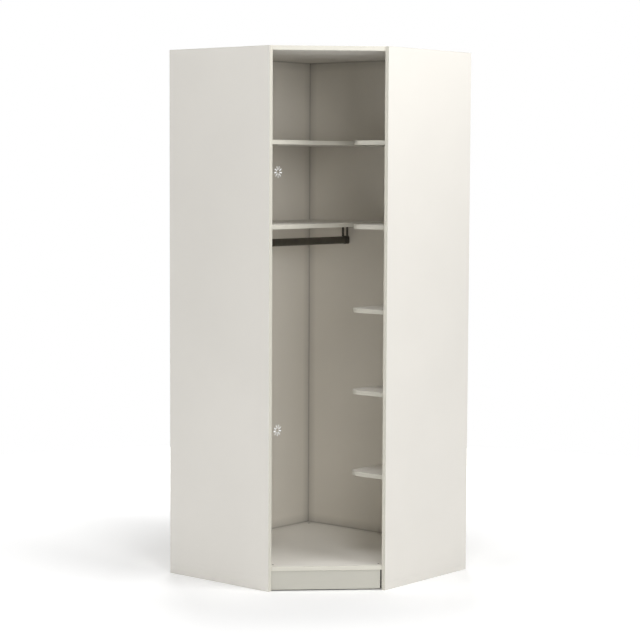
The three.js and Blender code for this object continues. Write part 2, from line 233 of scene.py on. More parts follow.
def edge_band(name, base):
    """Edge band of the boards: a darker, creamier white than the faces, whose darkness is painted shade on
    the edges; a little smoother, with faint drawn lines.
    """
    f = Finish(name)
    lines = f.noise(60.0, 4.0, 0.6, f.stretched((9.0, 9.0, 1.0)))
    colour = f.mottled(lines, 0.3, 0.7, shade(base, 0.98), shade(base, 1.015))
    rough = f.ramp(f.noise(70.0, 2.0), 0.3, 0.7, 0.38, 0.47)
    f.bumps((lines, 0.08, 0.05), (f.noise(900.0, 2.0), 0.12, 0.02))
    return f.done(Base_Color=colour, Roughness=rough, IOR=1.5)


def glue_line():
    """Hairline between face and edge band."""
    f = Finish("glue_line")
    colour = f.blend(f.noise(300.0, 3.0), (0.42, 0.39, 0.33, 1.0), (0.55, 0.52, 0.45, 1.0))
    f.bumps((f.noise(800.0, 2.0), 0.3, 0.05))
    return f.done(Base_Color=colour, Roughness=0.7)


def chipboard():
    """Core of the boards, which shows in the holes: pressed chips of mixed browns."""
    f = Finish("chipboard_core")
    chips = f.cells(420.0, f.stretched((1.0, 1.0, 2.2)))["Distance"]
    colour = f.mottled(chips, 0.0, 0.8, (0.50, 0.36, 0.21, 1.0), (0.24, 0.155, 0.08, 1.0))
    colour = f.mottled(f.noise(900.0, 4.0), 0.55, 0.7, colour, (0.62, 0.49, 0.31, 1.0), 0.8)
    f.bumps((chips, 0.6, 0.5), (f.noise(1600.0, 3.0), 0.4, 0.1))
    return f.done(Base_Color=colour, Roughness=0.9)


def bronze(name, base, rough_low, rough_high, grain, grain_depth):
    """Dark bronze metal, drawn or cast according to its grain."""
    f = Finish(name)
    lines = f.noise(1.0, 4.0, 0.65, f.stretched(grain))
    tone = f.mottled(f.noise(24.0, 3.0), 0.3, 0.7, shade(base, 0.85), shade(base, 1.2))
    tone = f.mottled(lines, 0.35, 0.7, tone, shade(base, 1.45), 0.5)
    rough = f.ramp(lines, 0.25, 0.75, rough_low, rough_high)
    f.bumps((lines, 0.25, grain_depth), (f.noise(1400.0, 2.0), 0.10, 0.02))
    return f.done(Base_Color=tone, Roughness=rough, Metallic=0.85, IOR=1.5)


def zinc():
    """Bright zinc plating on steel, with a soft spangle and fine scratches."""
    f = Finish("zinc_plated_steel")
    grey = f.add("ShaderNodeRGBToBW", Color=f.cells(380.0)["Color"]).outputs[0]
    tone = f.mottled(grey, 0.2, 0.8, (0.50, 0.51, 0.53, 1.0), (0.66, 0.67, 0.67, 1.0))
    scratches = f.noise(1.0, 5.0, 0.7, f.stretched((2600.0, 180.0, 900.0)))
    rough = f.ramp(scratches, 0.3, 0.75, 0.24, 0.42)
    f.bumps((scratches, 0.12, 0.03))
    return f.done(Base_Color=tone, Roughness=rough, Metallic=1.0)


def moulded(name, base, rough, texture):
    """Moulded plastic: spark-eroded texture, soft flow marks and slightly lighter worn spots."""
    f = Finish(name)
    flow = f.noise(70.0, 3.0, 0.5, f.stretched((1.0, 1.0, 0.35)))
    tone = f.mottled(flow, 0.3, 0.7, shade(base, 0.92), shade(base, 1.08))
    tone = f.mottled(f.noise(260.0, 6.0, 0.75), 0.62, 0.8, tone, shade(base, 1.35), 0.35)
    uneven = f.ramp(f.noise(500.0, 2.0), 0.3, 0.7, rough - 0.06, rough + 0.08)
    f.bumps((flow, 0.10, 0.10), (f.cells(texture)["Distance"], 0.35, 0.05))
    return f.done(Base_Color=tone, Roughness=uneven, IOR=1.49)


def pale_floor():
    """White floor that glows a little, and more towards its far edges, but not under the wardrobe."""
    f = Finish("studio_floor")
    tone = f.mottled(f.noise(0.8, 3.0), 0.3, 0.7, (0.93, 0.93, 0.93, 1.0), (0.95, 0.95, 0.95, 1.0))
    away = f.add("ShaderNodeVectorMath", {"operation": "LENGTH"}, Vector=f.place).outputs["Value"]
    glow = f.ramp(away, *FLOOR_GLOW_REACH, *FLOOR_GLOW)
    x, y, _ = f.add("ShaderNodeSeparateXYZ", Vector=f.place).outputs
    half = cad_box[1].x
    from_front = f.math("SUBTRACT", 2 * half - FRONT_RUN * mm, f.math("SUBTRACT", x, y))
    from_sides = f.math("SUBTRACT", half, f.math("MAXIMUM", f.math("ABSOLUTE", x), f.math("ABSOLUTE", y)))
    inside = f.math("MINIMUM", from_front, from_sides)
    glow = f.math("MULTIPLY", glow, f.ramp(inside, -0.01, 0.02, 1.0, 0.0))
    return f.done(Base_Color=tone, Roughness=0.9, Emission_Color=(1.0, 1.0, 1.0, 1.0), Emission_Strength=glow)


FLOOR_GLOW = (0.14, 0.62)
FLOOR_GLOW_REACH = (0.9, 2.4)
FLOOR_RADIUS = 4.0
FLOOR_THICK = 20.0

INNER_LEFT = cad_box[0].x + BACK * mm
INNER_RIGHT = cad_box[1].y - BACK * mm
INNER_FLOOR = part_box("bottom_panel")[1].z
INNER_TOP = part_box("top_panel")[0].z
BACK_WHITE = (0.80, 0.762, 0.688, 1.0)
# Painted shade: the edge bands' white is darker than the faces' white, so that the front edges look shaded
BAND_SHADED_WHITE = (0.665, 0.643, 0.565, 1.0)
# Painted shade: the plinth's white is greyer, so that it looks shaded under the bottom panel near the floor
PLINTH_SHADED_WHITE = (0.536, 0.523, 0.463, 1.0)

MELAMINE = melamine("warm_white_melamine", WARM_WHITE)
# The back boards and the floor and top panels carry painted shade along their inner joints
LEFT_BACK = melamine("left_back_melamine", BACK_WHITE, ((1, INNER_RIGHT), (2, INNER_FLOOR), (2, INNER_TOP)))
RIGHT_BACK = melamine("right_back_melamine", BACK_WHITE, ((0, INNER_LEFT), (2, INNER_FLOOR), (2, INNER_TOP)))
LEVEL_BOARD = melamine("floor_and_top_melamine", WARM_WHITE, ((0, INNER_LEFT), (1, INNER_RIGHT)))
BAND = edge_band("warm_white_edge_band", BAND_SHADED_WHITE)
PLINTH_MELAMINE = melamine("plinth_melamine", PLINTH_SHADED_WHITE)
PLINTH_BAND = edge_band("plinth_edge_band", PLINTH_SHADED_WHITE)
GLUE = glue_line()
CORE = chipboard()
DRAWN_BRONZE = bronze("bronze_drawn_tube", (0.120, 0.114, 0.098, 1.0), 0.30, 0.46, (900.0, 8.0, 900.0), 0.03)
CAST_GRAIN = (420.0, 420.0, 420.0)
CAST_BRONZE = bronze("bronze_cast_fitting", (0.088, 0.083, 0.072, 1.0), 0.42, 0.56, CAST_GRAIN, 0.06)
ZINC = zinc()
GREY_PLASTIC = moulded("grey_moulded_plastic", (0.46, 0.455, 0.43, 1.0), 0.46, 1500.0)
BLACK_PLASTIC = moulded("black_moulded_plastic", (0.022, 0.022, 0.024, 1.0), 0.52, 1200.0)

# Layers of a board, in the order of its material places
FACE_LAYER, BAND_LAYER, CORE_LAYER, GLUE_LAYER = range(4)
BOARD_LAYERS = (MELAMINE, BAND, CORE, GLUE)


# Mesh tools
def new_object(name, mesh, *materials):
    """Adds a mesh under a name. With no materials given the mesh keeps its own."""
    made = bpy.data.objects.new(name, mesh)
    scene.collection.objects.link(made)
    for material in materials:
        mesh.materials.append(material)
    return made


SHORTEST_EDGE = 0.003
SHARP_ANGLE, BOARD_SHARP_ANGLE = 35.0, 50.0
EASED_ANGLE = 40.0
ON_AXIS = 1e-6


def turn_outwards(bm):
    """Turns the faces of each closed shell outwards, by the sign of the volume that it encloses."""
    bmesh.ops.recalc_face_normals(bm, faces=bm.faces)
    bm.normal_update()
    left = set(bm.faces)
    while left:
        shell, queue = [], [left.pop()]
        while queue:
            face = queue.pop()
            shell.append(face)
            for edge in face.edges:
                for other in edge.link_faces:
                    if other in left:
                        left.remove(other)
                        queue.append(other)
        start = shell[0].verts[0].co
        if sum((f.verts[0].co - start).dot(f.normal) * f.calc_area() for f in shell) < 0:
            bmesh.ops.reverse_faces(bm, faces=shell)


def to_object(bm, name, *materials):
    mesh = bpy.data.meshes.new(name)
    turn_outwards(bm)
    bm.to_mesh(mesh)
    bm.free()
    return new_object(name, mesh, *materials)


def plain(piece):
    """Takes a piece's modifiers into its mesh, so that it is a plain mesh again."""
    depsgraph = bpy.context.evaluated_depsgraph_get()
    depsgraph.update()
    mesh = bpy.data.meshes.new_from_object(piece.evaluated_get(depsgraph), depsgraph=depsgraph)
    name, old = piece.name, piece.data
    bpy.data.objects.remove(piece)
    bpy.data.meshes.remove(old)
    mesh.name = name
    return new_object(name, mesh)


def cut(piece, other, operation="DIFFERENCE"):
    """Takes another solid out of a piece, or joins it on as a UNION, and removes the other."""
    modifier = piece.modifiers.new("cut", "BOOLEAN")
    modifier.operation = operation
    modifier.solver = "EXACT"
    modifier.object = other
    piece = plain(piece)
    bpy.data.objects.remove(other)
    return piece


def shaded(piece, angle=SHARP_ANGLE):
    """Smooth over curves and eased edges, flat over broad faces, with all faces outwards and the shortest
    edges dissolved."""
    bm = bmesh.new()
    bm.from_mesh(piece.data)
    bmesh.ops.dissolve_degenerate(bm, edges=bm.edges[:], dist=SHORTEST_EDGE * mm)
    turn_outwards(bm)
    bm.to_mesh(piece.data)
    bm.free()
    piece.data.shade_smooth()
    piece.data.set_sharp_from_angle(angle=math.radians(angle))
    modifier = piece.modifiers.new("normals", "WEIGHTED_NORMAL")
    modifier.keep_sharp = True
    modifier.weight = 100
    return plain(piece)


def softened(points, radius, steps=3):
    """Rounds the inner corners of a profile by a radius, or less where its sides are short."""
    made = [points[0]]
    for before, here, after in zip(points, points[1:], points[2:]):
        here = Vector(here)
        sides = [Vector(before) - here, Vector(after) - here]
        reach = min(radius, *(side.length * 0.45 for side in sides))
        start, end = (here + side.normalized() * reach for side in sides)
        for i in range(steps + 1):
            t = i / steps
            made.append(tuple(start.lerp(here, t).lerp(here.lerp(end, t), t)))
    made.append(points[-1])
    return made


def turned(bm, profile, place, axis, facets):
    """Turned solid about an axis. The profile holds (radius, height) in millimetres. It runs from axis to
    axis, or is a loop that ends where it starts."""
    turn = UP.rotation_difference(axis).to_matrix()
    made = {}
    for radius, height in profile:
        count = facets if radius > ON_AXIS else 1
        spots = [(math.cos(math.tau * i / facets) * radius, math.sin(math.tau * i / facets) * radius, height)
                 for i in range(count)]
        if (radius, height) not in made:
            made[radius, height] = [bm.verts.new(place + turn @ (Vector(spot) * mm)) for spot in spots]
    rings = [made[point] for point in profile]
    for low, high in zip(rings, rings[1:]):
        for i in range(facets):
            j = (i + 1) % facets
            ring = (low[i % len(low)], low[j % len(low)], high[j % len(high)], high[i % len(high)])
            corners = list(dict.fromkeys(ring))
            if len(corners) > 2:
                bm.faces.new(corners)


def rod(bm, start, end, radius, facets):
    axis = end - start
    turned(bm, [(0, 0), (radius, 0), (radius, axis.length / mm), (0, axis.length / mm)], start, axis, facets)


def turned_piece(name, profile, *materials, place=Vector(), axis=UP, facets=48):
    bm = bmesh.new()
    turned(bm, profile, place, axis, facets)
    return to_object(bm, name, *materials)


def prism(bm, outline, push):
    """Closed solid of a flat outline pushed along a direction. Returns its side faces in order."""
    low = [bm.verts.new(p) for p in outline]
    high = [bm.verts.new(p + push) for p in outline]
    count = len(outline)
    after = [(i + 1) % count for i in range(count)]
    sides = [bm.faces.new((low[i], low[j], high[j], high[i])) for i, j in enumerate(after)]
    bm.faces.new(low)
    bm.faces.new(high)
    return sides


def prism_piece(name, outline, push, *materials):
    bm = bmesh.new()
    prism(bm, outline, push)
    return to_object(bm, name, *materials)


def box_piece(name, low, high, *materials):
    """Upright box between two corners in millimetres."""
    corners = ((low[0], low[1]), (high[0], low[1]), (high[0], high[1]), (low[0], high[1]))
    outline = [Vector((x, y, low[2])) * mm for x, y in corners]
    return prism_piece(name, outline, UP * (high[2] - low[2]) * mm, *materials)


def eased(piece, width, steps):
    modifier = piece.modifiers.new("eased", "BEVEL")
    modifier.width = width * mm
    modifier.segments = steps
    modifier.limit_method = "ANGLE"
    modifier.angle_limit = math.radians(EASED_ANGLE)
    return plain(piece)


def dress(piece, body, slot, *nodes):
    """Ties a finished piece to its body, and hides the nodes that it stands for. slot is not used."""
    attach(piece, body)
    if nodes:
        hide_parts(*nodes)


# Geometry node trees
class Tree(Nodes):
    """A geometry node tree with named inputs."""

    def __init__(self, name, geometry_in=False):
        self.tree = bpy.data.node_groups.new(name, "GeometryNodeTree")
        if geometry_in:
            self.tree.interface.new_socket("Geometry", in_out="INPUT", socket_type="NodeSocketGeometry")
        self.tree.interface.new_socket("Geometry", in_out="OUTPUT", socket_type="NodeSocketGeometry")
        self.group_in = self.tree.nodes.new("NodeGroupInput")
        self.group_out = self.tree.nodes.new("NodeGroupOutput")

    def input(self, name, kind="Float", value=None):
        socket = self.tree.interface.new_socket(name, in_out="INPUT", socket_type="NodeSocket" + kind)
        if value is not None:
            socket.default_value = value
        return self.group_in.outputs[name]

    def made(self, kind, settings=None, **inputs):
        """First output of a geometry node."""
        return self.add("GeometryNode" + kind, settings, **inputs).outputs[0]

    def oval(self, width, height, points):
        """Outline with round ends, upright in Y."""
        outline = self.made("CurvePrimitiveQuadrilateral", Width=width, Height=height)
        radius = self.math("MULTIPLY", width, END_SHARE)
        return self.made("FilletCurve", {"mode": "POLY"}, Curve=outline, Count=points, Radius=radius)

    def solid(self, outline, depth):
        """Closed solid of flat outlines pushed up by a depth."""
        face = self.made("FillCurve", {"mode": "NGONS"}, Curve=outline)
        rise = self.vector(Z=1.0)
        pushed = self.made("ExtrudeMesh", Mesh=face, Offset=rise, Offset_Scale=depth, Individual=False)
        both = self.made("JoinGeometry", Geometry=[pushed, self.made("FlipFaces", Mesh=face)])
        return self.made("MergeByDistance", Geometry=both, Distance=MERGE_REACH)

    def round_the_axis(self, shape, count):
        """Copies of a shape, evenly turned about the Z axis."""
        index = self.made("InputIndex")
        angle = self.math("DIVIDE", self.math("MULTIPLY", index, math.tau), count)
        return self.made("InstanceOnPoints", Points=self.made("Points", Count=count), Instance=shape,
                         Rotation=self.vector(Z=angle))

    def finish(self, geometry):
        material = self.input("Material", "Material")
        real = self.made("RealizeInstances", Geometry=geometry)
        painted = self.made("SetMaterial", Geometry=real, Material=material)
        self.tree.links.new(painted, self.group_out.inputs[0])
        return self.tree


# Radius of a round end by the outline's width, a little under half so that its corners stay apart
END_SHARE = 0.49
MERGE_REACH = 1e-5


def grown(name, tree, base=None, **values):
    """Runs a tree on a base mesh, or on none, with its inputs set by name, and keeps the plain mesh."""
    piece = new_object(name, base or bpy.data.meshes.new(name))
    modifier = piece.modifiers.new("grown", "NODES")
    modifier.node_group = tree
    wanted = {key.replace("_", " "): value for key, value in values.items()}
    for item in tree.interface.items_tree:
        if item.item_type == "SOCKET" and item.in_out == "INPUT" and item.name in wanted:
            modifier[item.identifier] = wanted.pop(item.name)
    assert not wanted, wanted
    return plain(piece)


def copies_tree():
    """A copy of one shape at each point of the base mesh, turned by the point's own turn."""
    t = Tree("placed_copies", geometry_in=True)
    shape = t.input("Shape", "Object")
    turn = t.made("InputNamedAttribute", {"data_type": "FLOAT_VECTOR"}, Name="turn")
    source = t.add("GeometryNodeObjectInfo", Object=shape).outputs["Geometry"]
    points = t.group_in.outputs["Geometry"]
    return t.finish(t.made("InstanceOnPoints", Points=points, Instance=source, Rotation=turn))


def points_mesh(name, places):
    """Loose points, each with its turn as Euler angles."""
    mesh = bpy.data.meshes.new(name)
    mesh.from_pydata([tuple(place) for place, _ in places], [], [])
    turns = mesh.attributes.new("turn", "FLOAT_VECTOR", "POINT")
    for i, (_, turn) in enumerate(places):
        turns.data[i].vector = turn
    return mesh


COPIES = copies_tree()


def repeated(name, shape, places, material, remove=True):
    made = grown(name, COPIES, points_mesh(name, places), Shape=shape, Material=material)
    if remove:
        bpy.data.objects.remove(shape)
    return made


def facing(direction):
    """Euler turn that brings a shape's own +Z to a direction."""
    return UP.rotation_difference(direction).to_euler()


def slots_tree():
    """Slots with round ends on a circle, as solids that a board is cut with. The first lies at -Y."""
    t = Tree("vent_slots")
    count = t.input("Slot Count", "Int", 9)
    inner, outer = t.input("Inner Radius"), t.input("Outer Radius")
    width, depth = t.input("Slot Width"), t.input("Depth")
    outline = t.oval(width, t.math("SUBTRACT", outer, inner), 12)
    middle_place = t.math("MULTIPLY", t.math("ADD", outer, inner), -0.5)
    slot = t.made("Transform", Geometry=t.solid(outline, depth), Translation=t.vector(Y=middle_place))
    return t.finish(t.round_the_axis(slot, count))


def tube_tree():
    """Hollow oval tube that runs along its own -Y from the origin, upright in Z."""
    t = Tree("oval_tube")
    width, height, wall, length = (t.input(name) for name in ("Width", "Height", "Wall", "Length"))
    rings = []
    for walls in (0.0, -2.0):
        less = t.math("MULTIPLY", wall, walls)
        rings.append(t.oval(t.math("ADD", width, less), t.math("ADD", height, less), 20))
    upright = t.solid(t.made("JoinGeometry", Geometry=rings), length)
    return t.finish(t.made("Transform", Geometry=upright, Rotation=(math.pi / 2, 0, 0)))


def thread_tree():
    """Thread ridge wound up the Z axis from the origin."""
    t = Tree("thread_ridge")
    radius, pitch, turns, ridge = (t.input(name) for name in ("Radius", "Pitch", "Turns", "Ridge"))
    line = t.made("CurveSpiral", Resolution=24, Rotations=turns, Start_Radius=radius, End_Radius=radius,
                  Height=t.math("MULTIPLY", pitch, turns))
    section = t.made("CurvePrimitiveCircle", Resolution=6, Radius=ridge)
    return t.finish(t.made("CurveToMesh", Curve=line, Profile_Curve=section, Fill_Caps=True))


def ribs_tree():
    """Thin upright ribs that stand round the Z axis and slope down outwards, as on a moulded foot."""
    t = Tree("round_ribs")
    count, width = t.input("Rib Count", "Int", 12), t.input("Rib Width")
    inner, outer = t.input("Inner Radius"), t.input("Outer Radius")
    inner_height, outer_height = t.input("Inner Height"), t.input("Outer Height")
    size = t.vector(X=t.math("SUBTRACT", outer, inner), Y=width, Z=1.0)
    offset = t.vector(X=t.math("MULTIPLY", t.math("ADD", inner, outer), 0.5), Z=0.5)
    rib = t.made("Transform", Geometry=t.made("MeshCube", Size=size), Translation=offset)
    here = t.add("ShaderNodeSeparateXYZ", Vector=t.made("InputPosition")).outputs
    slope = t.ramp(here["X"], inner, outer, inner_height, outer_height)
    spot = t.vector(X=here["X"], Y=here["Y"], Z=t.math("MULTIPLY", here["Z"], slope))
    rib = t.made("SetPosition", Geometry=rib, Position=spot)
    return t.finish(t.round_the_axis(rib, count))


SLOTS = slots_tree()
TUBE = tube_tree()
THREAD = thread_tree()
RIBS = ribs_tree()

# Shelf connectors
CAM_RADIUS = 10.0
CAM_DEPTH = 12.5
BOLT_RADIUS = 3.5
BOLT_RISE = 7.5
CAM_FROM_EDGE = 11.5
BOLT_REACH = 9.0
HOLE_GAP = 0.25
NEIGHBOURS = {"left": ("left_side_panel", -TO_BACK), "side": ("right_side_panel", TO_SIDE),
              "back": ("right_back_board", TO_BACK)}


def connectors():
    """For each connector: its node, its board, the board that its bolt enters, the middle of its cam's open
    face, the direction of the bolt, and the direction from that face into the board."""
    found = []
    for node in sorted(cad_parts):
        if "_connector_" not in node:
            continue
        owner, end = node.split("_connector_")
        faces_up = owner == "top"
        side = end.split("_")[0]
        other, way = NEIGHBOURS[side if side in NEIGHBOURS else "side" if faces_up else "back"]
        low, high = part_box(node)
        place = at_height(middle(node), high.z if faces_up else low.z)
        axis = 0 if way.x else 1
        tail = low if sum(way) > 0 else high
        place[axis] = tail[axis] + way[axis] * CAM_RADIUS * mm
        found.append((node, "top_panel" if faces_up else owner, other, place, way, -UP if faces_up else UP))
    return found


CONNECTORS = connectors()

# Screws. The first two lines hold the radius of the head, the height of its cone and the shank's radius.
SCREW_HEAD, SCREW_CONE, SCREW_SHANK = 4.2, 2.6, 2.0
SMALL_HEAD, SMALL_CONE, SMALL_SHANK = 3.7, 2.2, 1.75
HEAD_GAP = 0.2
HEAD_SUNK, CONE_SUNK = 0.3, 0.4
SCREW_BORE, SCREW_BORE_DEPTH = 2.3, 8.0
SCREW_FROM_SIDE = 110.0
SCREW_FROM_SHELF_END = 45.0
SCREW_FROM_TOP = 60.0
CORNER_SCREWS = 7
NARROW_SHELVES = range(1, 6)


def screw_places():
    """Countersunk screws that hold the back boards to the other boards: owner, place of the head, facing."""
    low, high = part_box("left_back_board")
    inner = BACK + (high.y - low.y) / mm
    across = (BACK + SCREW_FROM_SIDE, (BACK + inner) / 2, inner - SCREW_FROM_SIDE)
    found = []
    for name in ("top_panel", "bottom_panel", "hat_shelf", "top_shelf"):
        found += [("left_back_board", plan(0, v, middle(name).z / mm), -TO_SIDE) for v in across]
    for name in ("top_panel", "bottom_panel"):
        found += [("right_back_board", plan(u, 0, middle(name).z / mm), TO_BACK) for u in across]
    for number in NARROW_SHELVES:
        height = middle(f"narrow_shelf_{number}").z / mm
        found.append(("right_back_board", plan(inner - SCREW_FROM_SHELF_END, 0, height), TO_BACK))
    step = (cad_box[1].z / mm - 2 * SCREW_FROM_TOP) / (CORNER_SCREWS - 1)
    for i in range(CORNER_SCREWS):
        found.append(("right_back_board", plan(BACK / 2, 0, SCREW_FROM_TOP + i * step), TO_BACK))
    return found


SCREWS = screw_places()


def screw_room(rim, sunk, cone, shank, depth):
    """Profile of a countersunk hole, with an overrun above the face."""
    return [(0, 1), (rim, 1), (rim, -sunk), (shank, -sunk - cone), (shank, -depth), (0, -depth)]


# Boards. An edge without a band has this share of a band's rounding.
UNBANDED_SHARE = 0.35
SMOOTH_TURN = 0.3
BROAD_FACE = 0.99
SOCKET_HOLE_RADIUS, SOCKET_HOLE_DEPTH = 2.1, 12.5
SOCKET_SCREWS = ("socket_screw_upper", "socket_screw_lower")
FEET = ("front_right", "rear_right", "front_left", "rear_left", "corner")
VENT_HEIGHTS = (581.0, 1820.0)
VENT_FROM_CORNER = 246.0
VENT_POCKET = 50.0
VENT_WEB = 2.0
VENT_SLOTS = 9
VENT_INNER, VENT_OUTER, VENT_WIDTH = 9.0, 29.0, 5.5


def board(name, outline, push, banded, face_finish=MELAMINE, band_finish=BAND):
    """Coated board with eased edges, a glue line round its faces and its holes cut. banded lists the sides
    of the outline that carry an edge band."""
    bm = bmesh.new()
    weight = bm.edges.layers.float.new("bevel_weight_edge")
    sides = prism(bm, outline, push)
    count = len(sides)
    for i, side in enumerate(sides):
        side.material_index = BAND_LAYER
        after = (i + 1) % count
        for edge in side.edges:
            if edge in sides[after].edges:
                turn = (outline[i] - outline[after]).angle(outline[after] - outline[(i + 2) % count])
                both = i in banded and after in banded
                edge[weight] = 0.0 if turn < SMOOTH_TURN else 1.0 if both else UNBANDED_SHARE
            elif edge not in sides[i - 1].edges:
                edge[weight] = 1.0 if i in banded else UNBANDED_SHARE
    piece = to_object(bm, name + "_coated", face_finish, band_finish, CORE, GLUE)
    modifier = piece.modifiers.new("eased", "BEVEL")
    modifier.width = EDGE_BAND * mm
    modifier.segments = 3
    modifier.limit_method = "WEIGHT"
    modifier.use_clamp_overlap = False
    modifier.material = BAND_LAYER
    piece = plain(piece)

    bm = bmesh.new()
    bm.from_mesh(piece.data)
    along = push.normalized()
    faces = [f for f in bm.faces if f.material_index == FACE_LAYER and abs(f.normal.dot(along)) > BROAD_FACE]
    for face in faces:
        rim = bmesh.ops.inset_region(bm, faces=[face], thickness=GLUE_LINE * mm, use_even_offset=True)
        for strip in rim["faces"]:
            strip.material_index = GLUE_LAYER
    bm.to_mesh(piece.data)
    bm.free()

    for cutter in board_cutters(name):
        piece = cut(piece, cutter)
    dress(shaded(piece, BOARD_SHARP_ANGLE), "carcass", "white_board", name)


def board_cutters(name):
    """Holes of a board: its own connectors' cams, the bolts that enter it, screws, vents and access holes."""
    cams, bolts, screws = bmesh.new(), bmesh.new(), bmesh.new()
    low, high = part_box(name)
    for _, own, other, place, way, inward in CONNECTORS:
        if own == name:
            bed = place + inward * (CAM_DEPTH + HOLE_GAP) * mm
            rod(cams, place - inward * mm, bed, CAM_RADIUS + HOLE_GAP, 64)
        if name in (own, other):
            line = place + inward * BOLT_RISE * mm
            tip = line + way * (CAM_FROM_EDGE + BOLT_REACH + HOLE_GAP) * mm
            rod(bolts, line, tip, BOLT_RADIUS + HOLE_GAP, 24)
    room = screw_room(SCREW_HEAD + HEAD_GAP, CONE_SUNK, SCREW_CONE, SCREW_BORE, SCREW_BORE_DEPTH)
    for owner, place, out in SCREWS:
        if owner == name:
            turned(screws, room, place, out, 32)
    if name == "hat_shelf":
        for end in POSTS:
            foot = at_height(middle(f"rail_post_{end}"), low.z)
            rod(bolts, foot - UP * mm, foot + UP * POST_HOLE_DEPTH * mm, POST_HOLE_RADIUS, 24)
    if name == "bottom_panel":
        for foot in FEET:
            centre = foot_centre(foot)
            rod(screws, at_height(centre, low.z - mm), at_height(centre, high.z + mm), ACCESS_RADIUS, 40)
    if name == "left_side_panel":
        for screw in SOCKET_SCREWS:
            place = middle(screw)
            place.y = high.y
            bed = place - TO_BACK * SOCKET_HOLE_DEPTH * mm
            rod(screws, place + TO_BACK * mm, bed, SOCKET_HOLE_RADIUS, 24)
    made = []
    for bm, label in ((cams, "cams"), (bolts, "bolts"), (screws, "screws")):
        if bm.faces:
            made.append(layered(to_object(bm, f"{name}_{label}"), CORE_LAYER))
        else:
            bm.free()
    if name == "left_back_board":
        depth = BACK - VENT_WEB
        profile = [(0, -1), (VENT_POCKET, -1), (VENT_POCKET, depth), (0, depth)]
        for height in VENT_HEIGHTS:
            place = plan(0, VENT_FROM_CORNER, height)
            pocket = turned_piece("vent_pocket", profile, place=place, axis=TO_SIDE, facets=72)
            made += [layered(pocket, CORE_LAYER), vent_cutter(height)]
    return made


def layered(cutter, layer):
    """Gives a cutter the board's layers, and all of its faces one of them."""
    cutter.data.materials.clear()
    for material in BOARD_LAYERS:
        cutter.data.materials.append(material)
    for face in cutter.data.polygons:
        face.material_index = layer
    return cutter


def vent_cutter(height):
    slots = grown("vent_slots", SLOTS, Slot_Count=VENT_SLOTS, Inner_Radius=VENT_INNER * mm,
                  Outer_Radius=VENT_OUTER * mm, Slot_Width=VENT_WIDTH * mm, Depth=(BACK + 2) * mm,
                  Material=BAND)
    stand = Matrix.Rotation(math.pi / 2, 4, "Z") @ Matrix.Rotation(math.pi / 2, 4, "X")
    slots.data.transform(Matrix.Translation(plan(-1, VENT_FROM_CORNER, height)) @ stand)
    return layered(slots, BAND_LAYER)


def foot_centre(name):
    return at_height(middle(f"foot_{name}_pad"), 0)


def rectangle(name, across):
    """Outline of a square-cut board from its node's box. across is the axis of its thickness."""
    low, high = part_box(name)
    a, b = [i for i in range(3) if i != across]
    outline = []
    for first, second in ((0, 0), (1, 0), (1, 1), (0, 1)):
        point = Vector(low)
        point[a] = (low, high)[first][a]
        point[b] = (low, high)[second][b]
        outline.append(point)
    push = Vector()
    push[across] = high[across] - low[across]
    return outline, push


def add_boards():
    for name, across, banded, finish in (
        ("left_side_panel", 1, (0, 1, 2, 3), MELAMINE), ("right_side_panel", 0, (0, 1, 2, 3), MELAMINE),
        ("left_back_board", 0, (0, 2), LEFT_BACK), ("right_back_board", 1, (0, 2), RIGHT_BACK),
        ("hat_shelf", 2, (1,), MELAMINE), ("top_shelf", 2, (1,), MELAMINE),
    ):
        board(name, *rectangle(name, across), banded, finish)
    reach, r, steps = FRONT_RUN * mm, FREE_CORNER * mm, 24
    for name in ("top_panel", "bottom_panel"):
        low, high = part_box(name)
        corners = ((low.x, low.y), (high.x - reach, low.y), (high.x, low.y + reach), (high.x, high.y),
                   (low.x, high.y))
        board(name, [Vector((x, y, low.z)) for x, y in corners], UP * BOARD * mm, (1,), LEVEL_BOARD)
    for number in NARROW_SHELVES:
        name = f"narrow_shelf_{number}"
        low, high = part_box(name)
        corners = [(high.x, low.y), (high.x, high.y), (low.x, high.y)]
        for i in range(steps + 1):
            a = math.pi + math.pi / 2 * i / steps
            corners.append((low.x + r + r * math.cos(a), low.y + r + r * math.sin(a)))
        outline = [Vector((x, y, low.z)) for x, y in corners]
        board(name, outline, UP * BOARD * mm, range(2, len(outline)))


def add_plinth():
    """Plinth board, square to the open front, in a slightly greyer white that is painted shade for the
    recessed plinth near the floor.
    """
    low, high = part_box("plinth_board")
    thick = PLINTH * mm
    rise = UP * (high.z - low.z)
    left = Vector((low.x + thick * INTO_CORNER.y, low.y, low.z))
    right = Vector((high.x, high.y - thick * INTO_CORNER.y, low.z))
    outline = [left, right, right + rise, left + rise]
    board("plinth_board", outline, INTO_CORNER * thick, (0, 1, 2, 3), PLINTH_MELAMINE, PLINTH_BAND)


# Brackets of the plinth
BRACKET_LENGTH = 40.0
BRACKET_LEG = 26.0
BRACKET_THICK = 4.0
BRACKET_HOLE = 15.0
BRACKET_HOLE_SIDE = 9.0
BRACKET_ROUND, BRACKET_BEND = 0.6, 4.0
WEB_THICK = 3.0
WEB_INSET = 1.0
WEB_ROOT = 2.0
BRACKET_ENDS = ("left", "right")


def bracket_frame(end):
    """Matrix from a bracket's own place: +X along the front, +Y into the corner, z = 0 at its upper face."""
    node = f"plinth_bracket_{end}"
    origin = at_height(middle(node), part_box(node)[1].z) - INTO_CORNER * BRACKET_LEG / 2 * mm
    axes = Matrix((ALONG_FRONT, INTO_CORNER, UP)).transposed().to_4x4()
    return Matrix.Translation(origin) @ axes


def bracket_holes():
    """Heads of a bracket's four screws, with their facings, in the bracket's own place."""
    sides = ((BRACKET_HOLE, -BRACKET_THICK, -UP), (BRACKET_THICK, -BRACKET_HOLE, TO_BACK))
    pair = (-BRACKET_HOLE_SIDE, BRACKET_HOLE_SIDE)
    return [(Vector((x, y, z)) * mm, out) for y, z, out in sides for x in pair]


